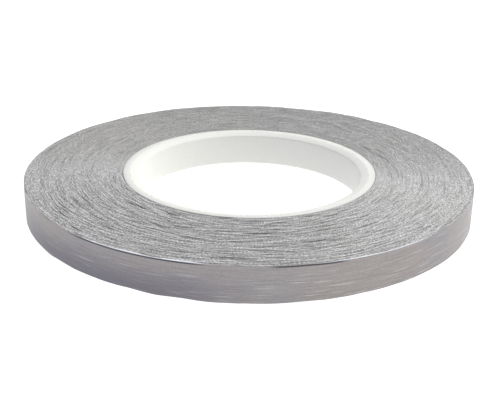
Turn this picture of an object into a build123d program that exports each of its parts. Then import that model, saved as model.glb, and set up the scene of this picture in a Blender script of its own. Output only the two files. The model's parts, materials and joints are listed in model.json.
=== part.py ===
# A roll of adhesive-backed foil tape for stained glass work. Millimetres.
# The tape is three bonded layers: a release liner, an adhesive film and a metal foil.
# It is wound on a moulded core, liner inwards and foil outwards. The outer turns are modelled
# layer by layer. The turns beneath them are pressed together, and are one ring.
# Z is the axis of the roll, and z = 0 is the surface that the roll lies on.

from build123d import *
import math
import os

# The tape: a quarter of an inch wide, with foil 1.5 thousandths of an inch thick
TAPE_WIDTH = 6.35
FOIL_THICKNESS = 0.0381
ADHESIVE_THICKNESS = 0.0254
LINER_THICKNESS = 0.048
TURNS = 160
LAYERED_TURNS = 2

# The core: a ring a little wider than the tape, with both rims of its bore dished
CORE_RADIUS = 23.8
BORE_RADIUS = 20.95
CORE_WIDTH = 6.95
DISH_WIDTH = 1.5
DISH_DEPTH = 0.5

# The free end of the tape: its direction from the axis and its length up to where it bends
END_DIRECTION = 140
TAIL_LENGTH = 18

# The tack that holds the first turn to the core: its arc, ending at the start of the tape
TACK_ANGLE = 50

# What follows from them
PITCH = LINER_THICKNESS + ADHESIVE_THICKNESS + FOIL_THICKNESS
PRESSED_TURNS = TURNS - LAYERED_TURNS
LAST_TURN_RADIUS = CORE_RADIUS + (TURNS - 1) * PITCH
ROLL_RADIUS = CORE_RADIUS + TURNS * PITCH
TAPE_LENGTH = math.pi * (ROLL_RADIUS**2 - CORE_RADIUS**2) / PITCH
TAIL_ANGLE = math.degrees(TAIL_LENGTH / ROLL_RADIUS)
LAST_ARC_RADIUS = LAST_TURN_RADIUS + PITCH / 2

# Each layer is an inner and an outer surface, as heights above the turn beneath
LINER = (0, LINER_THICKNESS)
ADHESIVE = (LINER_THICKNESS, LINER_THICKNESS + ADHESIVE_THICKNESS)
FOIL = (LINER_THICKNESS + ADHESIVE_THICKNESS, PITCH)

# The tape lies flush with the top of the core, and starts and ends in the end's direction
end_vector = Vector(1, 0, 0).rotate(Axis.Z, END_DIRECTION)
TAPE_PLANE = Plane((0, 0, CORE_WIDTH - TAPE_WIDTH), x_dir=end_vector, z_dir=(0, 0, 1))

# A turn is two half circles. The second is half a pitch larger, about a centre half a pitch
# away, so the turns run into each other smoothly and each one climbs by a whole pitch.
FIRST_CENTRE = (0, 0)
SECOND_CENTRE = (PITCH / 2, 0)

# The tail bends about a line on its foil's outer surface, parallel to the axis of the roll
bend_radius = LAST_ARC_RADIUS + PITCH
bend_x = SECOND_CENTRE[0] + bend_radius * math.cos(math.radians(-TAIL_ANGLE))
bend_y = bend_radius * math.sin(math.radians(-TAIL_ANGLE))
bend = TAPE_PLANE.from_local_coords(Vector(bend_x, bend_y, TAPE_WIDTH / 2))


def half_circles(turn):
    """The surface beneath a turn, as two arcs of (centre, radius, start angle, sweep)."""
    radius = CORE_RADIUS + turn * PITCH
    return [(FIRST_CENTRE, radius, 0, 180), (SECOND_CENTRE, radius + PITCH / 2, 180, 180)]


def turn_arcs():
    """The arcs of the layered turns, without the tail."""
    arcs = []
    for turn in range(PRESSED_TURNS, TURNS):
        arcs += half_circles(turn)
    arcs[-1] = (SECOND_CENTRE, LAST_ARC_RADIUS, 180, 180 - TAIL_ANGLE)
    return arcs


def outline_beneath(turn):
    """Draw the surface beneath a turn, closed by the step of one pitch at the turn's start."""
    first, second = [CenterArc(*arc) for arc in half_circles(turn)]
    Line(second @ 1, first @ 0)


def stretch_of_layer(centre, radius, start_angle, sweep, inner, outer):
    """One layer of the tape along one arc."""
    with BuildPart() as stretch:
        with BuildSketch(TAPE_PLANE):
            with BuildLine():
                inside = CenterArc(centre, radius + inner, start_angle, sweep)
                outside = CenterArc(centre, radius + outer, start_angle, sweep)
                Line(inside @ 0, outside @ 0)
                Line(inside @ 1, outside @ 1)
            make_face()
        extrude(amount=TAPE_WIDTH)
    return stretch


def wound_layer(inner, outer):
    """One layer of the tape, from the pressed turns to where the tail bends, as one solid.

    Its skin is that of its stretches, without the end faces where one runs into the next.
    """
    skin = []
    open_ends = []
    for arc in turn_arcs():
        faces = stretch_of_layer(*arc, inner, outer).faces()
        skin += faces.filter_by(GeomType.CYLINDER)
        skin += faces.filter_by(Axis.Z)
        flat_sides = faces.filter_by(GeomType.PLANE).filter_by(Axis.Z, reverse=True)
        open_ends.append(flat_sides)
    start_radius = CORE_RADIUS + PRESSED_TURNS * PITCH
    layer_start = TAPE_PLANE.from_local_coords(Vector(start_radius, 0, 0))
    skin.append(open_ends[0].sort_by_distance(layer_start)[0])
    skin.append(open_ends[-1].sort_by_distance(bend)[0])
    with BuildPart() as layer:
        add(Solid(Shell(skin)), clean=False)
    return layer


def finish(piece, name):
    """Name a piece and write it."""
    piece.part.label = name
    export_step(piece.part, f"parts/{name}.step")


os.makedirs("parts", exist_ok=True)

# Core: half of its section, turned about the axis
with BuildPart() as core:
    with BuildSketch(Plane.XZ):
        with BuildLine():
            Polyline(
                (BORE_RADIUS, DISH_DEPTH),
                (BORE_RADIUS + DISH_WIDTH, 0),
                (CORE_RADIUS, 0),
                (CORE_RADIUS, CORE_WIDTH),
                (BORE_RADIUS + DISH_WIDTH, CORE_WIDTH),
                (BORE_RADIUS, CORE_WIDTH - DISH_DEPTH),
                close=True,
            )
        make_face()
    revolve(axis=Axis.Z)
finish(core, "core")

# Start tack: fills the thin wedge between the core and the first turn, beside the tape's start
with BuildPart() as start_tack:
    with BuildSketch(TAPE_PLANE):
        with BuildLine():
            on_core = CenterArc(FIRST_CENTRE, CORE_RADIUS, -TACK_ANGLE, TACK_ANGLE)
            on_liner = CenterArc(SECOND_CENTRE, CORE_RADIUS + PITCH / 2, -TACK_ANGLE, TACK_ANGLE)
            Line(on_core @ 0, on_liner @ 0)
            Line(on_core @ 1, on_liner @ 1)
        make_face()
    extrude(amount=TAPE_WIDTH)
finish(start_tack, "start_tack")

# The pressed turns: a ring from the core to the first layered turn
with BuildPart() as inner_turns:
    with BuildSketch(TAPE_PLANE):
        with BuildLine():
            outline_beneath(PRESSED_TURNS)
        make_face()
        with BuildLine():
            outline_beneath(0)
        make_face(mode=Mode.SUBTRACT)
    extrude(amount=TAPE_WIDTH)
finish(inner_turns, "inner_turns")

# The three layers of the tape in the outer turns
finish(wound_layer(*LINER), "release_liner")
finish(wound_layer(*ADHESIVE), "adhesive_film")
finish(wound_layer(*FOIL), "foil_strip")

# The same three layers in the tail, which lies on the roll until it is peeled off
for layer_name, (inner, outer) in (("liner", LINER), ("adhesive", ADHESIVE), ("foil", FOIL)):
    tail = stretch_of_layer(SECOND_CENTRE, LAST_ARC_RADIUS, -TAIL_ANGLE, TAIL_ANGLE, inner, outer)
    finish(tail, f"{layer_name}_tail")

print(f"roll radius {ROLL_RADIUS:.3f}, pitch {PITCH:.4f}, tape length {TAPE_LENGTH / 1000:.2f} m")
print(f"tail angle {TAIL_ANGLE:.3f}, bend at {bend.X:.5f}, {bend.Y:.5f}, {bend.Z:.5f}")
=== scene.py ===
# %% [markdown]
# # A roll of tinned foil tape on a plastic core
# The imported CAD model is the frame: its core, its pressed and layered turns and its peeling tail
# give every size and place here. In the CAD the inner turns are one ring and the outer ones are
# perfectly even. A real roll is neither, so here each layer is wound again from the core outwards,
# with the unevenness, burrs and creases that slitting and winding leave. The top could be a flat
# ring with painted circles, but only real strips catch the light on their uneven edges.

# %% Load the frame
import bpy
import json
import math
import numpy as np
from mathutils import Euler, Matrix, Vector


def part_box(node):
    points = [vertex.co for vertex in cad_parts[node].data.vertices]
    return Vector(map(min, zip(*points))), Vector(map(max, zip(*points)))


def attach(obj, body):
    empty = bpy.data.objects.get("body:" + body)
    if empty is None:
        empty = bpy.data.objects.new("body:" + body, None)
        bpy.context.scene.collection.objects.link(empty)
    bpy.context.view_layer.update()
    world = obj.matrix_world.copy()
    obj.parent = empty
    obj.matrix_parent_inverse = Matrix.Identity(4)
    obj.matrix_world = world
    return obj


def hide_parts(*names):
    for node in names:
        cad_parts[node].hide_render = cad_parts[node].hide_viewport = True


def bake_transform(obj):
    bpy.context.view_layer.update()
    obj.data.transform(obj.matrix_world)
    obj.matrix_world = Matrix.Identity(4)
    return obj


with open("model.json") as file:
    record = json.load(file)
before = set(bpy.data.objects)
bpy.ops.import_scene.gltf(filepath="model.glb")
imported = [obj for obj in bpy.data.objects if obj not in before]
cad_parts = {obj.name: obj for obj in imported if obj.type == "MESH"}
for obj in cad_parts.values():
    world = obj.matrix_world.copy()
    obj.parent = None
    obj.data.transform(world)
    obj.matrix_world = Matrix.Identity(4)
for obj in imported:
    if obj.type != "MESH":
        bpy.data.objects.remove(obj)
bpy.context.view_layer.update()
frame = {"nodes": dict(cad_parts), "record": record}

# %% [markdown]
# ## Sizes
# Everything is in metres. The core and the tape's width are read from the frame, so they can't
# drift from the CAD. The thickness of each layer isn't a box in the frame, so it is given here,
# and the three together are the pitch: how much each turn adds to the radius.

# %% Sizes of the core, the tape and the winding
MM = 0.001
TURNS = 160
END_DIRECTION = math.radians(140)
LINER_THICKNESS = 0.048 * MM
ADHESIVE_THICKNESS = 0.0254 * MM
FOIL_THICKNESS = 0.0381 * MM
TAIL_LENGTH = 18 * MM

_, core_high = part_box("core")
tape_low, tape_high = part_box("foil_strip")
core_radius = core_high.x
core_width = core_high.z
tape_bottom = tape_low.z
tape_width = tape_high.z - tape_low.z
pitch = LINER_THICKNESS + ADHESIVE_THICKNESS + FOIL_THICKNESS
roll_radius = core_radius + TURNS * pitch
tail_turn = TAIL_LENGTH / roll_radius / math.tau
LAYERS = {
    "liner": ("release_liner", 0, LINER_THICKNESS),
    "adhesive": ("adhesive_film", LINER_THICKNESS, LINER_THICKNESS + ADHESIVE_THICKNESS),
    "foil": ("foil_strip", LINER_THICKNESS + ADHESIVE_THICKNESS, pitch),
}
print(f"roll radius {roll_radius / MM:.2f} mm, {TURNS} turns of {pitch / MM:.4f} mm")

# %% [markdown]
# ## Helpers for node trees
# A material is a tree of small nodes. It could be joined up by hand in the shader editor. A helper
# for each kind of node keeps a finish down to a few lines that read like arithmetic.


# %% Helpers for node trees
def new_group(name, inputs, outputs):
    """A shader node group with float inputs {name: default} and outputs {name: socket type}."""
    tree = bpy.data.node_groups.new(name, "ShaderNodeTree")
    for label, value in inputs.items():
        socket = tree.interface.new_socket(label, in_out="INPUT", socket_type="NodeSocketFloat")
        socket.default_value = value
    for label, kind in outputs.items():
        tree.interface.new_socket(label, in_out="OUTPUT", socket_type=kind)
    return tree, tree.nodes.new("NodeGroupInput").outputs, tree.nodes.new("NodeGroupOutput").inputs


def feed(tree, socket, value):
    """Link a socket to an output, or give it a plain value."""
    if isinstance(value, bpy.types.NodeSocket):
        tree.links.new(value, socket)
    else:
        socket.default_value = value


def math_node(tree, operation, *values):
    node = tree.nodes.new("ShaderNodeMath")
    node.operation = operation
    for socket, value in zip(node.inputs, values):
        feed(tree, socket, value)
    return node.outputs[0]


def ramp(tree, value, low, high, to_low=0.0, to_high=1.0):
    """value from low..high to to_low..to_high, smoothly and clamped."""
    node = tree.nodes.new("ShaderNodeMapRange")
    node.interpolation_type = "SMOOTHSTEP"
    for socket, given in zip(node.inputs, (value, low, high, to_low, to_high)):
        feed(tree, socket, given)
    return node.outputs[0]


def point(tree, x, y, z):
    node = tree.nodes.new("ShaderNodeCombineXYZ")
    for socket, value in zip(node.inputs, (x, y, z)):
        feed(tree, socket, value)
    return node.outputs[0]


def noise(tree, vector, scale=1.0, detail=3.0, roughness=0.5):
    node = tree.nodes.new("ShaderNodeTexNoise")
    feed(tree, node.inputs["Vector"], vector)
    for label, value in {"Scale": scale, "Detail": detail, "Roughness": roughness}.items():
        feed(tree, node.inputs[label], value)
    return node.outputs["Fac"]


def mixed(tree, factor, first, second):
    """A colour between two colours, each a socket or an (r, g, b)."""
    node = tree.nodes.new("ShaderNodeMix")
    node.data_type = "RGBA"
    feed(tree, node.inputs[0], factor)
    for socket, colour in zip(node.inputs[6:8], (first, second)):
        feed(tree, socket, colour if isinstance(colour, bpy.types.NodeSocket) else (*colour, 1))
    return node.outputs[2]


def use_group(tree, group, **values):
    node = tree.nodes.new("ShaderNodeGroup")
    node.node_tree = group
    for label, value in values.items():
        feed(tree, node.inputs[label], value)
    return node.outputs


# %% [markdown]
# ## Group: place on the roll
# Every pattern on a roll of tape follows its winding. This group turns a point into its place on
# the winding: how far from the axis, which way round and how high. A UV map on each strip could
# say the same, but this serves the core as well. The direction goes out as a point on a circle,
# so that no pattern shows a seam where the angle starts again.

# %% Group: place on the roll
roll_place, _, place_out = new_group(
    "roll place",
    {},
    {"Radius": "NodeSocketFloat", "East": "NodeSocketFloat", "North": "NodeSocketFloat",
     "Height": "NodeSocketFloat"},
)
here = roll_place.nodes.new("ShaderNodeTexCoord").outputs["Object"]
split = roll_place.nodes.new("ShaderNodeSeparateXYZ")
feed(roll_place, split.inputs[0], here)
x, y, z = split.outputs
radius = math_node(
    roll_place, "SQRT",
    math_node(roll_place, "ADD", math_node(roll_place, "MULTIPLY", x, x),
              math_node(roll_place, "MULTIPLY", y, y)),
)
feed(roll_place, place_out["Radius"], radius)
feed(roll_place, place_out["East"], math_node(roll_place, "DIVIDE", x, radius))
feed(roll_place, place_out["North"], math_node(roll_place, "DIVIDE", y, radius))
feed(roll_place, place_out["Height"], z)
print("group:", roll_place.name)

# %% [markdown]
# ## Group: grain and painted shade of cut edges
# Slitting leaves the edges of the tape rough, with fine specks. The short dark streaks and long
# thin arcs are painted shade, where a turn sits a little low. All are noises stretched along the
# turns. The bright part of a noise makes blobs, which is right for specks and streaks. The arcs are
# level lines instead, where the noise passes its middle value, because those are thin curves.

# %% Group: grain and painted shade of cut edges
# Sizes are in features to the metre across the turns, and in features to the radian along them.
edge_grain_and_shade, grain_in, grain_out = new_group(
    "edge grain and shade",
    {"Across": 5200.0, "Along": 120.0},
    {"Specks": "NodeSocketFloat", "Streaks": "NodeSocketFloat", "Arcs": "NodeSocketFloat",
     "Patches": "NodeSocketFloat"},
)
place = use_group(edge_grain_and_shade, roll_place)
out_and_up = math_node(edge_grain_and_shade, "ADD", place["Radius"], place["Height"])


def along_turns(across, along):
    """A noise vector that is fine across the turns, and up their faces, and long along them."""
    return point(
        edge_grain_and_shade,
        math_node(edge_grain_and_shade, "MULTIPLY", out_and_up, across),
        math_node(edge_grain_and_shade, "MULTIPLY", place["East"], along),
        math_node(edge_grain_and_shade, "MULTIPLY", place["North"], along),
    )


speck_noise = noise(edge_grain_and_shade, along_turns(grain_in["Across"], grain_in["Along"]), detail=2.0)
streak_noise = noise(edge_grain_and_shade, along_turns(5000.0, 24.0), detail=2.0)
arc_noise = noise(edge_grain_and_shade, along_turns(2000.0, 1.7), detail=1.0)
break_noise = noise(edge_grain_and_shade, along_turns(800.0, 3.5), detail=2.0)
patch_noise = noise(edge_grain_and_shade, along_turns(180.0, 2.5), detail=2.0)
level_line = math_node(edge_grain_and_shade, "ABSOLUTE", math_node(edge_grain_and_shade, "SUBTRACT", arc_noise, 0.5))
arcs = math_node(
    edge_grain_and_shade, "MULTIPLY",
    ramp(edge_grain_and_shade, level_line, 0.0, 0.06, 1.0, 0.0), ramp(edge_grain_and_shade, break_noise, 0.38, 0.62),
)
feed(edge_grain_and_shade, grain_out["Specks"], ramp(edge_grain_and_shade, speck_noise, 0.3, 0.7))
feed(edge_grain_and_shade, grain_out["Streaks"], ramp(edge_grain_and_shade, streak_noise, 0.56, 0.72))
feed(edge_grain_and_shade, grain_out["Arcs"], arcs)
feed(edge_grain_and_shade, grain_out["Patches"], ramp(edge_grain_and_shade, patch_noise, 0.3, 0.7))
print("group:", edge_grain_and_shade.name)

# %% [markdown]
# ## Faces and cut edges
# Each layer of the tape has smooth faces and rough cut edges. They could have a material each,
# but then every strip would carry two. Here one material does both: the surface's own normal
# tells a cut edge, which faces up or down, from a face, which looks sideways.


# %% Helpers for materials
# Painted shade between the turns of a cut edge: the shares of its streaks and arcs, and its colour.
STREAK_SHARE = 0.4
ARC_SHARE = 0.42
SHADOW = (0.05, 0.05, 0.05)


def new_material(name):
    """A material, its node tree and its Principled BSDF."""
    material = bpy.data.materials.new(name)
    material.use_nodes = True
    return material, material.node_tree, material.node_tree.nodes["Principled BSDF"].inputs


def upward(tree):
    """1 where the surface faces straight up or down, 0 where it faces sideways."""
    split_normal = tree.nodes.new("ShaderNodeSeparateXYZ")
    feed(tree, split_normal.inputs[0], tree.nodes.new("ShaderNodeNewGeometry").outputs["Normal"])
    return ramp(tree, math_node(tree, "ABSOLUTE", split_normal.outputs[2]), 0.35, 0.8)


def darkened(tree, grain, colour):
    """A cut edge's colour, with painted shade in its streaks and arcs, where turns sit low."""
    colour = mixed(tree, math_node(tree, "MULTIPLY", grain["Streaks"], STREAK_SHARE), colour, SHADOW)
    return mixed(tree, math_node(tree, "MULTIPLY", grain["Arcs"], ARC_SHARE), colour, SHADOW)


def bump(tree, height, distance, strength):
    node = tree.nodes.new("ShaderNodeBump")
    node.inputs["Distance"].default_value = distance
    node.inputs["Strength"].default_value = strength
    feed(tree, node.inputs["Height"], height)
    return node.outputs["Normal"]


# %% [markdown]
# ## The foil's face
# The foil has a dull tin coat. Its face keeps fine lines from the rolling mill, all along the
# strip, and a few scratches from handling, and it has tarnished unevenly: bluish in places,
# brownish in others. Low on one side it is darkened with painted shade, for the dimmer
# surroundings it reflects there. A picture of worn metal could be wrapped round the roll, but
# noise that is stretched along the strip has no seam and never repeats.

# %% Material: tinned foil, and places on its face
foil_material, tree, surface = new_material("tinned foil")
place = use_group(tree, roll_place)
grain = use_group(tree, edge_grain_and_shade)
edge = upward(tree)


def around(high, along):
    """A noise vector for the foil's face: high features to the metre of height, along per radian."""
    return point(
        tree,
        math_node(tree, "MULTIPLY", place["Height"], high),
        math_node(tree, "MULTIPLY", place["East"], along),
        math_node(tree, "MULTIPLY", place["North"], along),
    )


def towards(direction, narrow, wide):
    """1 within narrow degrees of a direction round the roll, fading to 0 at wide degrees."""
    aim = math.radians(direction)
    facing = math_node(
        tree, "ADD", math_node(tree, "MULTIPLY", place["East"], math.cos(aim)),
        math_node(tree, "MULTIPLY", place["North"], math.sin(aim)),
    )
    return ramp(tree, facing, math.cos(math.radians(wide)), math.cos(math.radians(narrow)))


# %% Material: tinned foil, its face
tape_top = tape_bottom + tape_width
low_half = ramp(tree, place["Height"], tape_bottom + 0.1 * tape_width, tape_top, 1.0, 0.0)
mill_lines = noise(tree, around(5600.0, 6.0), detail=4.0, roughness=0.75)
scratches = ramp(tree, noise(tree, around(5200.0, 7.0), detail=2.0), 0.57, 0.74)
scratches = math_node(tree, "MULTIPLY", scratches, ramp(tree, low_half, 0.0, 0.5, 0.15, 0.6))
mottle = noise(tree, around(3600.0, 130.0), detail=3.0, roughness=0.7)
tarnish = ramp(tree, noise(tree, around(220.0, 4.0), detail=3.0), 0.35, 0.65)
haze = ramp(tree, noise(tree, around(70.0, 2.5), detail=2.0), 0.4, 0.6)
# Painted shade low on the front-left of the face, for the dimmer surroundings the foil reflects there.
front_left_painted_shade = math_node(tree, "MULTIPLY", towards(232, 14, 44), low_half)
tin = mixed(tree, tarnish, (0.30, 0.28, 0.28), (0.27, 0.262, 0.285))
tin = mixed(tree, haze, tin, (0.31, 0.285, 0.275))
tin = mixed(tree, ramp(tree, mottle, 0.35, 0.65, 0.0, 0.5), tin, (0.20, 0.19, 0.195))
tin = mixed(tree, ramp(tree, mill_lines, 0.35, 0.65, 0.0, 0.36), tin, (0.50, 0.48, 0.47))
tin = mixed(tree, scratches, tin, (0.60, 0.585, 0.575))
tin = mixed(tree, math_node(tree, "MULTIPLY", front_left_painted_shade, 0.6), tin, (0.125, 0.12, 0.165))

# %% [markdown]
# ## The lip of the outer turn
# Slitting rolls a burr over the upper edge of the foil. The burr's shape is made further down, as
# geometry. Its crest carries a painted highlight, and a thin line of painted shadow lies beneath it,
# and both come and go along the roll. They could be cut out of the mesh as a face set, but two
# masks, one of height and one of direction, fade softly. The painted highlight is on the outermost
# turn only.

# %% Material: tinned foil, its lip
# Painted shadow: a thin dark line just under the burr and along the sprung stretches, where the overhang
# would shade the face.
under_lip = math_node(
    tree, "MULTIPLY", ramp(tree, place["Height"], tape_top - 0.45 * MM, tape_top - 0.3 * MM),
    ramp(tree, place["Height"], tape_top - 0.13 * MM, tape_top - 0.05 * MM, 1.0, 0.0),
)
lip = math_node(tree, "MAXIMUM", towards(244, 13, 19), towards(283, 6, 9))
lip_painted_shadow = math_node(tree, "MULTIPLY", math_node(tree, "MULTIPLY", under_lip, lip), 0.85)
tin = mixed(tree, lip_painted_shadow, tin, (0.04, 0.04, 0.05))
# Painted highlight: the burr's crest, pale and bluish like the bright sky it would reflect, on the
# outermost turn only.
lip_painted_highlight = math_node(
    tree, "MULTIPLY", ramp(tree, place["Height"], tape_top - 0.14 * MM, tape_top - 0.04 * MM),
    math_node(tree, "MAXIMUM", towards(247, 12, 17), towards(300, 9, 16)),
)
outermost = math_node(tree, "GREATER_THAN", place["Radius"], roll_radius - 1.05 * pitch)
lip_painted_highlight = math_node(tree, "MULTIPLY", lip_painted_highlight, outermost)
tin = mixed(tree, lip_painted_highlight, tin, (0.80, 0.83, 0.90))

# %% [markdown]
# ## The foil's cut edges
# The edges are what the top of the roll is made of: torn metal that scatters the light, with
# bright and dark specks, and painted shade in streaks and arcs where a turn sits low. A flat grey
# would look like card, so they take the grain and shade group. They are far less mirror-like than
# the face, because a rough edge reflects in every direction.

# %% Material: tinned foil, its cut edges
cut = mixed(tree, grain["Specks"], (0.27, 0.27, 0.275), (0.95, 0.95, 0.94))
cut = darkened(tree, grain, cut)
# The burr's painted highlight, on its cut edge as well.
cut = mixed(tree, lip_painted_highlight, cut, (0.85, 0.88, 0.94))
feed(tree, surface["Base Color"], mixed(tree, edge, tin, cut))
feed(tree, surface["Metallic"], ramp(tree, edge, 0.0, 1.0, 0.9, 0.35))
foil_roughness = ramp(tree, mill_lines, 0.2, 0.8, 0.36, 0.55)
feed(tree, surface["Roughness"], math_node(tree, "MAXIMUM", foil_roughness,
                                           math_node(tree, "MULTIPLY", edge, 0.75)))
feed(tree, surface["Normal"], bump(tree, mill_lines, 0.004 * MM, 0.6))

# %% [markdown]
# ## The liner and the adhesive
# Their edges show as thin lines between the turns of foil. Slitting smears metal and dust over
# the edges, so they share the foil's grain and are much greyer than fresh paper and glue. They share
# the foil's painted shade where a turn sits low, too. Their faces show only where the tail is
# peeled, and there they keep their own pale colours. Leaving the two layers out would make the top
# a solid metal, which the real one isn't.

# %% Materials: liner paper and adhesive
liner_material, tree, surface = new_material("release liner paper")
grain = use_group(tree, edge_grain_and_shade)
paper = mixed(tree, grain["Specks"], (0.30, 0.30, 0.30), (0.84, 0.84, 0.83))
paper = darkened(tree, grain, paper)
feed(tree, surface["Base Color"], mixed(tree, upward(tree), (0.72, 0.71, 0.67), paper))
feed(tree, surface["Roughness"], ramp(tree, grain["Specks"], 0.0, 1.0, 0.95, 0.75))
feed(tree, surface["Normal"], bump(tree, grain["Specks"], 0.03 * MM, 0.5))

adhesive_material, tree, surface = new_material("acrylic adhesive")
grain = use_group(tree, edge_grain_and_shade)
glue = mixed(tree, grain["Specks"], (0.16, 0.16, 0.165), (0.60, 0.60, 0.60))
glue = mixed(tree, math_node(tree, "MULTIPLY", grain["Patches"], 0.5), glue, (0.40, 0.40, 0.395))
glue = darkened(tree, grain, glue)
feed(tree, surface["Base Color"], mixed(tree, upward(tree), (0.50, 0.49, 0.46), glue))
feed(tree, surface["Roughness"], ramp(tree, grain["Specks"], 0.0, 1.0, 0.45, 0.7))
feed(tree, surface["Normal"], bump(tree, grain["Specks"], 0.02 * MM, 0.5))
print("materials:", [material.name for material in bpy.data.materials])

# %% [markdown]
# ## Uneven winding
# The tape wanders up and down by a few hundredths of a millimetre as it winds on, so the edges of
# the turns are not quite level. Neighbouring turns wander together, and here and there a few sit
# lower and read as dark arcs. That is a sum of waves round the roll, and the size of each wave
# drifts from turn to turn. A random height for each point would look like fur instead. Bonded
# layers move together, so all three share one wandering.

# %% The height of the tape's edge along the winding
WAVES = 36
WANDER = 0.035 * MM
DIP = 0.08 * MM
DIP_LEVEL = 1.1
DRIFT = 0.72
chance = np.random.default_rng(21)


def drifting_waves():
    """Sizes of the waves for every turn, as cosine and sine parts. Each turn is like the last."""
    sizes = chance.standard_normal((TURNS + 1, 2, WAVES))
    for turn in range(1, TURNS + 1):
        sizes[turn] = DRIFT * sizes[turn - 1] + math.sqrt(1 - DRIFT**2) * sizes[turn]
    return sizes / math.sqrt(WAVES)


def wave_sum(sizes, turns):
    """The waves' sum at places along the winding, counted in turns from the start."""
    turn = np.minimum(turns.astype(int), TURNS - 1)
    part = (turns - turn)[:, None, None]
    here = sizes[turn] * (1 - part) + sizes[turn + 1] * part
    angle = math.tau * turns[:, None] * np.arange(1, WAVES + 1)
    return (here[:, 0] * np.cos(angle) + here[:, 1] * np.sin(angle)).sum(axis=1)


wander_waves = drifting_waves()
dip_waves = drifting_waves()


def edge_lift(turns):
    """How far the tape stands above or below its nominal height, in metres."""
    dips = np.maximum(wave_sum(dip_waves, turns) - DIP_LEVEL, 0)
    return WANDER * wave_sum(wander_waves, turns) - DIP * dips


sample = edge_lift(np.linspace(0, TURNS - 1, 5000)) / MM
print(f"edge lift, mm: {sample.min():.3f} to {sample.max():.3f}, spread {sample.std():.3f}")


# %% [markdown]
# ## The winding
# Each turn lies flat on the one beneath for half a turn and climbs by one pitch over the other
# half, as in the CAD. An even spiral would do as well for the eye, but then these strips and the
# CAD's would cross. The inner turns need only four points to a section, because no more than
# their edges can be seen, and all three layers together stand in for the CAD's ring.

# %% Where the winding lies
def wound_radius(turns):
    """The inner surface of the liner, as its distance from the axis."""
    turn = np.floor(turns)
    angle = math.tau * (turns - turn)
    climb = np.where(angle > math.pi, pitch * (1 + np.cos(angle)) / 2, 0)
    return core_radius + turn * pitch + climb


def wound_angle(turns):
    return END_DIRECTION + math.tau * turns


# %% [markdown]
# ## Strips
# A strip is a closed ribbon: one loop of points round its section, repeated along the winding.
# It could be a curve with a bevel, but a curve's section can only grow or shrink on its way. The
# same maker winds the inner turns, with four points to a section, and the outer turn and the
# tail, with many points up their faces so that they can bulge, crease and curl.


# %% Helper: make a closed strip
SHARP_ANGLE = math.radians(40)


def make_strip(name, turns, inner, outer, rows, lift, bulge, material):
    """A strip along turns, between two heights in the tape.

    rows are fractions of its width from bottom to top. lift is its rise at each place along it,
    and bulge(place, row) its outward shift, both in metres.
    """
    base = wound_radius(turns)[:, None]
    shift = bulge(turns[:, None], rows[None, :])
    faces_out = base + outer + shift
    faces_in = base + inner + shift
    height = tape_bottom + rows[None, :] * tape_width + lift[:, None]
    angle = wound_angle(turns)[:, None]
    loop_radius = np.concatenate([faces_in, faces_out[:, ::-1]], axis=1)
    loop_height = np.concatenate([height, height[:, ::-1]], axis=1)
    corners = np.stack(
        [loop_radius * np.cos(angle), loop_radius * np.sin(angle), loop_height], axis=-1
    )
    sections, size = loop_radius.shape
    start = np.arange(sections - 1)[:, None] * size + np.arange(size)[None, :]
    follow = np.arange(sections - 1)[:, None] * size + (np.arange(size)[None, :] + 1) % size
    quads = np.stack([start, follow, follow + size, start + size], axis=-1).reshape(-1, 4)
    last = (sections - 1) * size
    caps = [list(range(size))[::-1], list(range(last, last + size))]
    mesh = bpy.data.meshes.new(name)
    mesh.from_pydata(corners.reshape(-1, 3).tolist(), [], quads.tolist() + caps)
    # The faces are shaded smooth. The cut edges, one quad each at the top and bottom, and the
    # ends are flat.
    is_face = np.ones(size, bool)
    is_face[[len(rows) - 1, size - 1]] = False
    smooth = np.concatenate([np.tile(is_face, sections - 1), [False, False]])
    mesh.polygons.foreach_set("use_smooth", smooth)
    mesh.set_sharp_from_angle(angle=SHARP_ANGLE)
    mesh.materials.append(material)
    mesh.validate()
    mesh.update()
    piece = bpy.data.objects.new(name, mesh)
    bpy.context.collection.objects.link(piece)
    print(f"{name}: {len(mesh.polygons)} faces")
    return piece


# %% Wind the inner turns of the three layers
MATERIALS = {"liner": liner_material, "adhesive": adhesive_material, "foil": foil_material}
SET_BACK = {"liner": 0.015 * MM, "adhesive": 0.035 * MM, "foil": 0.0}
INNER_STEPS = 144
INNER_ROWS = np.array([0, 1])


def layer_rows(layer, rows):
    """Rows of a layer, as fractions of the tape's width. Paper and glue end short of the foil."""
    set_back = SET_BACK[layer] / tape_width
    return set_back + (1 - 2 * set_back) * rows


def no_bulge(turns, rows):
    return np.zeros(np.broadcast(turns, rows).shape)


inner_turns = np.arange((TURNS - 1) * INNER_STEPS + 1) / INNER_STEPS
inner_lift = edge_lift(inner_turns)
for layer, (_, inner, outer) in LAYERS.items():
    piece = make_strip(
        f"{layer}_wound", inner_turns, inner, outer, layer_rows(layer, INNER_ROWS), inner_lift,
        no_bulge, MATERIALS[layer],
    )
    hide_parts("inner_turns")
    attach(piece, "roll")

# %% [markdown]
# ## The outer turn
# This turn shows its whole face, so it has its own fine mesh. Handling has left a few faint
# creases across it and small dents. Its upper edge has a burr that curls outwards over a few
# stretches, and it has sprung away from the turn beneath in a few short places. They could be
# sculpted, but a sum of small bumps at given places can be moved, resized and read.

# %% Shape of the outer turn
OUTER_STEPS = 1440
OUTER_ROWS = np.array([0, 0.01, 0.03, 0.08, 0.2, 0.35, 0.5, 0.65, 0.8, 0.9, 0.94, 0.965, 0.98, 0.992, 1])
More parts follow.
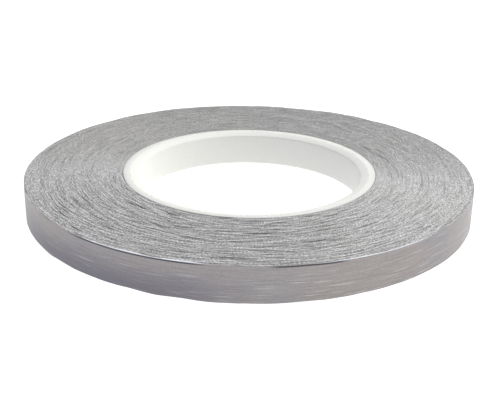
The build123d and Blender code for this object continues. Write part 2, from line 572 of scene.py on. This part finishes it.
# Directions and widths are in degrees round the roll. The last number of each is its strength.
# A crease: direction. A dent: direction and row. A sprung stretch: direction and half its width.
# A burr: direction and width.
CREASES = [(264, 0.9), (279.8, 0.6), (291.2, 1.0), (301, 0.7), (36, 0.8), (95, 0.6), (200, 0.7)]
DENTS = [(246.8, 0.35, 1.0), (311.2, 0.3, 0.8), (75, 0.6, 0.9), (170, 0.4, 0.7)]
SPRUNG = [(278, 3.2, 1.0), (286, 2.6, 0.9), (60, 6.0, 0.8)]
BURRS = [(240, 24, 1.0), (301, 17, 0.9), (20, 30, 0.7), (180, 18, 0.8)]
SLACK = 0.012 * MM
CREASE_HEIGHT = 0.015 * MM
DENT_DEPTH = 0.02 * MM
SPRUNG_GAP = 0.09 * MM
BURR_CURL = 0.1 * MM
BURR_RISE = 0.05 * MM


def away(turns, direction):
    """How far along the roll's rim a place is from a direction given in degrees, in degrees."""
    return (np.degrees(wound_angle(turns)) - direction + 180) % 360 - 180


def burr_size(turns):
    """How strong the burr is at places along the winding, from 0 to about 1."""
    size = sum(s * np.exp(-np.abs(away(turns, d) / (w / 2)) ** 4) for d, w, s in BURRS)
    ripple = 0.75 + 0.25 * np.sin(61 * math.tau * turns) * np.sin(17 * math.tau * turns)
    return size * ripple


def outer_bulge(turns, rows):
    """How far the outer turn stands out from a perfect winding, in metres."""
    slack = np.sin(7 * math.tau * turns + 1.3) * np.sin(math.pi * rows)
    creases = sum(
        s * np.exp(-((away(turns, d) + 0.5 * np.sin(5 * rows)) / 0.22) ** 2) for d, s in CREASES
    )
    dents = sum(
        s * np.exp(-((away(turns, d) / 0.5) ** 2) - ((rows - r) / 0.07) ** 2) for d, r, s in DENTS
    )
    gaps = sum(s * np.exp(-((away(turns, d) / w) ** 4)) for d, w, s in SPRUNG)
    gaps = gaps * np.clip((rows - 0.75) / 0.25, 0, 1) ** 2
    curl = burr_size(turns) * np.clip((rows - 0.955) / 0.045, 0, 1) ** 2
    return (
        SLACK * slack + CREASE_HEIGHT * creases - DENT_DEPTH * dents + SPRUNG_GAP * gaps
        + BURR_CURL * curl
    )


# %% Wind the outer turn of the three layers
outer_count = round(OUTER_STEPS * (1 - tail_turn))
outer_turns = TURNS - 1 + np.linspace(0, 1 - tail_turn, outer_count + 1)
outer_lift = edge_lift(outer_turns) + BURR_RISE * burr_size(outer_turns)
for layer, (node, inner, outer) in LAYERS.items():
    piece = make_strip(
        f"{layer}_outer_turn", outer_turns, inner, outer, layer_rows(layer, OUTER_ROWS),
        outer_lift, outer_bulge, MATERIALS[layer],
    )
    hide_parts(node)
    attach(piece, "roll")

# %% [markdown]
# ## The tail
# The last 18 mm of tape peel off the roll on the joint at their bend. Real tape bends over a
# short stretch. Here each layer of the tail is a strip of its own along the end of the winding,
# with its place baked into its points. Riding on the tail's body alone, it would crack open at the
# joint.

# %% The three layers of the tail
TAIL_STEPS = 120
tail_turns = TURNS - tail_turn * np.linspace(1, 0, TAIL_STEPS + 1)
tail_lift = edge_lift(tail_turns)
for layer, (_, inner, outer) in LAYERS.items():
    piece = make_strip(
        f"{layer}_free_end", tail_turns, inner, outer, layer_rows(layer, OUTER_ROWS), tail_lift,
        no_bulge, MATERIALS[layer],
    )
    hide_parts(f"{layer}_tail")
    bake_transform(piece)

# %% [markdown]
# ## The core
# A moulded ring of milky white plastic. Its rims are dished towards the bore, every edge is
# softly rounded. It could be the CAD's ring with a bevel modifier, but the dish needs a wider
# rounding than the rims. So it is turned from its section like a part on a lathe, with a
# rounding of its own at each corner.


# %% Helper: round the corners of a section
def rounded(corners, radii, steps=6):
    """A closed section with an arc in place of each corner."""
    outline = []
    for number, (corner, radius) in enumerate(zip(corners, radii)):
        corner = np.array(corner)
        before = np.array(corners[number - 1]) - corner
        after = np.array(corners[(number + 1) % len(corners)]) - corner
        before /= np.linalg.norm(before)
        after /= np.linalg.norm(after)
        half = math.acos(np.clip(before @ after, -1, 1)) / 2
        centre = corner + (before + after) / np.linalg.norm(before + after) * radius / math.sin(half)
        start = corner + before * radius / math.tan(half) - centre
        end = corner + after * radius / math.tan(half) - centre
        turn = math.atan2(start[0] * end[1] - start[1] * end[0], start @ end)
        for step in range(steps + 1):
            angle = turn * step / steps
            spun = (
                start[0] * math.cos(angle) - start[1] * math.sin(angle),
                start[0] * math.sin(angle) + start[1] * math.cos(angle),
            )
            outline.append(tuple(centre + spun))
    return outline


# %% Turn the core
CORE_STEPS = 360
DISH_WIDTH = 1.5 * MM
DISH_DEPTH = 0.5 * MM
BORE_ROUNDING = 0.35 * MM
DISH_ROUNDING = 1.6 * MM
RIM_ROUNDING = 0.18 * MM
mount = next(m for m in frame["record"]["mounts"] if m["name"] == "spindle_bore")
bore_radius = mount["dims"]["r_mm"] * MM
dish_radius = bore_radius + DISH_WIDTH
section = rounded(
    [
        (bore_radius, DISH_DEPTH),
        (dish_radius, 0),
        (core_radius, 0),
        (core_radius, core_width),
        (dish_radius, core_width),
        (bore_radius, core_width - DISH_DEPTH),
    ],
    [BORE_ROUNDING, DISH_ROUNDING, RIM_ROUNDING, RIM_ROUNDING, DISH_ROUNDING, BORE_ROUNDING],
)
angles = math.tau * np.arange(CORE_STEPS) / CORE_STEPS
corners = [(r * math.cos(a), r * math.sin(a), h) for a in angles for r, h in section]
size = len(section)
quads = []
for step in range(CORE_STEPS):
    this, following = step * size, (step + 1) % CORE_STEPS * size
    for k in range(size):
        nxt = (k + 1) % size
        quads.append((this + k, this + nxt, following + nxt, following + k))
mesh = bpy.data.meshes.new("core_ring")
mesh.from_pydata(corners, [], quads)
mesh.validate()
mesh.shade_smooth()
core_ring = bpy.data.objects.new("core_ring", mesh)
bpy.context.collection.objects.link(core_ring)
print(f"core_ring: {len(mesh.polygons)} faces")

# %% [markdown]
# ## The core's plastic
# Milky plastic lets a little light in under its surface, so a subsurface share softens its edges.
# Flat white would look like chalk. The flat part of the rim is rubbed grey by the foil, with
# painted shade in the crevice beside the tape, and a few small nicks where the rim meets the dish.

# %% Material: milky core plastic
core_material, tree, surface = new_material("core plastic")
place = use_group(tree, roll_place)
everywhere = point(
    tree,
    math_node(tree, "MULTIPLY", math_node(tree, "ADD", place["Radius"], place["Height"]), 2600.0),
    math_node(tree, "MULTIPLY", place["East"], 60.0),
    math_node(tree, "MULTIPLY", place["North"], 60.0),
)
rubbed = ramp(tree, place["Radius"], dish_radius + 0.3 * MM, core_radius - 0.1 * MM)
rubbed = math_node(tree, "MULTIPLY", rubbed, upward(tree))
smear = noise(tree, everywhere, detail=3.0)
from_nick_line = math_node(tree, "SUBTRACT", place["Radius"], dish_radius + 0.15 * MM)
from_nick_line = math_node(tree, "ABSOLUTE", from_nick_line)
nick_band = ramp(tree, from_nick_line, 0.15 * MM, 0.4 * MM, 1.0, 0.0)
nicks = math_node(tree, "MULTIPLY", ramp(tree, smear, 0.62, 0.68), nick_band)
plastic = mixed(tree, ramp(tree, smear, 0.2, 0.8), (0.78, 0.78, 0.74), (0.82, 0.82, 0.785))
plastic = mixed(tree, math_node(tree, "MULTIPLY", rubbed, 0.45), plastic, (0.55, 0.55, 0.54))
plastic = mixed(tree, math_node(tree, "MULTIPLY", nicks, 0.8), plastic, (0.25, 0.25, 0.25))
# Painted shade in the crevice between the core's rim and the winding.
crevice_painted_shade = ramp(tree, place["Radius"], core_radius - 0.2 * MM, core_radius - 0.05 * MM)
plastic = mixed(tree, math_node(tree, "MULTIPLY", crevice_painted_shade, 0.85), plastic, (0.06, 0.06, 0.06))
feed(tree, surface["Base Color"], plastic)
feed(tree, surface["Roughness"], ramp(tree, smear, 0.2, 0.8, 0.38, 0.52))
surface["Subsurface Weight"].default_value = 0.3
surface["Subsurface Radius"].default_value = (1.0, 0.9, 0.8)
surface["Subsurface Scale"].default_value = 0.8 * MM
feed(tree, surface["Normal"], bump(tree, smear, 0.01 * MM, 0.4))
mesh.materials.append(core_material)
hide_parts("core")
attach(core_ring, "roll")

# %% [markdown]
# ## The start tack
# The patch of adhesive beside the tape's start keeps its CAD shape, which is right as it is: a
# thin wedge between the core and the first turn. Making it again would add nothing, so it only
# takes the adhesive's material.

# %% Give the tack its finish
frame["nodes"]["start_tack"].data.materials.clear()
frame["nodes"]["start_tack"].data.materials.append(adhesive_material)
print("start_tack:", adhesive_material.name)

# %% [markdown]
# ## The table
# Small parts are often shown on opal acrylic lit from below, which keeps the ground white and the
# shadow under the part faint. A brighter lamp over a white table would do the first but not the
# second, so the table glows.

# %% Table
TABLE_SIZE = 3.0
bpy.ops.mesh.primitive_plane_add(size=TABLE_SIZE)
table = bpy.context.object
table.name = "table"
table_material, tree, surface = new_material("white table")
mottle = noise(tree, tree.nodes.new("ShaderNodeTexCoord").outputs["Object"], scale=40.0)
feed(tree, surface["Base Color"], mixed(tree, mottle, (0.30, 0.30, 0.30), (0.34, 0.34, 0.34)))
surface["Roughness"].default_value = 0.7
surface["Emission Color"].default_value = (1, 1, 1, 1)
surface["Emission Strength"].default_value = 0.95
table.data.materials.append(table_material)
print(f"table: {TABLE_SIZE} m square")

# %% [markdown]
# ## The light
# A large soft light stands to the right and behind, and another hangs above and behind. The room
# is white behind and to the right, and dimmer and cooler in front and to the left. One lamp in a
# dark room would light the core well enough, but metal shows what stands around it, so it is the
# room's slow change from side to side that makes the foil look round.


# %% Lights
def soft_light(name, place, size, power, colour):
    lamp = bpy.data.lights.new(name, "AREA")
    lamp.shape = "RECTANGLE"
    lamp.size, lamp.size_y = size
    lamp.energy = power
    lamp.color = colour
    holder = bpy.data.objects.new(name, lamp)
    holder.location = place
    aim = -holder.location
    holder.rotation_euler = aim.to_track_quat("-Z", "Y").to_euler()
    bpy.context.collection.objects.link(holder)
    print(f"{name}: {power} W")


soft_light("right_softbox", (0.24, 0.20, 0.24), (0.45, 0.35), 0.95, (1.0, 0.985, 0.96))
soft_light("overhead", (0.05, 0.25, 0.55), (0.5, 0.5), 1.1, (1, 1, 1))
world = bpy.data.worlds.new("white room")
bpy.context.scene.world = world
world.use_nodes = True
tree = world.node_tree
look = tree.nodes.new("ShaderNodeSeparateXYZ")
feed(tree, look.inputs[0], tree.nodes.new("ShaderNodeTexCoord").outputs["Generated"])
rightward = math_node(tree, "ADD", look.outputs[0], math_node(tree, "MULTIPLY", look.outputs[1], 0.6))
room = mixed(tree, ramp(tree, rightward, -1.1, 1.1), (0.29, 0.31, 0.365), (0.86, 0.85, 0.83))
feed(tree, tree.nodes["Background"].inputs["Color"], room)
tree.nodes["Background"].inputs["Strength"].default_value = 1.0
bpy.context.scene.view_settings.view_transform = "Standard"

# %% [markdown]
# ## The camera
# The camera looks slightly down on the roll from the front. Its distance and height are given in
# radii of the roll, so the framing follows the roll's size. Fixed metres would have to be worked
# out again for a wider tape.

# %% Camera
LENS = 67.79
DISTANCE = 4.0159
HEIGHT = 1.6342
LOOK_DOWN = math.radians(22.167)
LOOK_RIGHT = math.radians(0.077)
LEAN = math.radians(0.952)
camera = bpy.data.objects.new("camera", bpy.data.cameras.new("camera"))
camera.data.lens = LENS
camera.data.sensor_width = 36
camera.data.clip_start = 0.01
camera.location = (0, -DISTANCE * roll_radius, HEIGHT * roll_radius + tape_bottom)
camera.rotation_mode = "XYZ"
level = Euler((math.pi / 2 - LOOK_DOWN, 0, -LOOK_RIGHT), "XYZ").to_matrix()
camera.rotation_euler = (level @ Matrix.Rotation(LEAN, 3, "Z")).to_euler()
bpy.context.collection.objects.link(camera)
bpy.context.scene.camera = camera
print("camera, mm:", [round(value / MM) for value in camera.location])
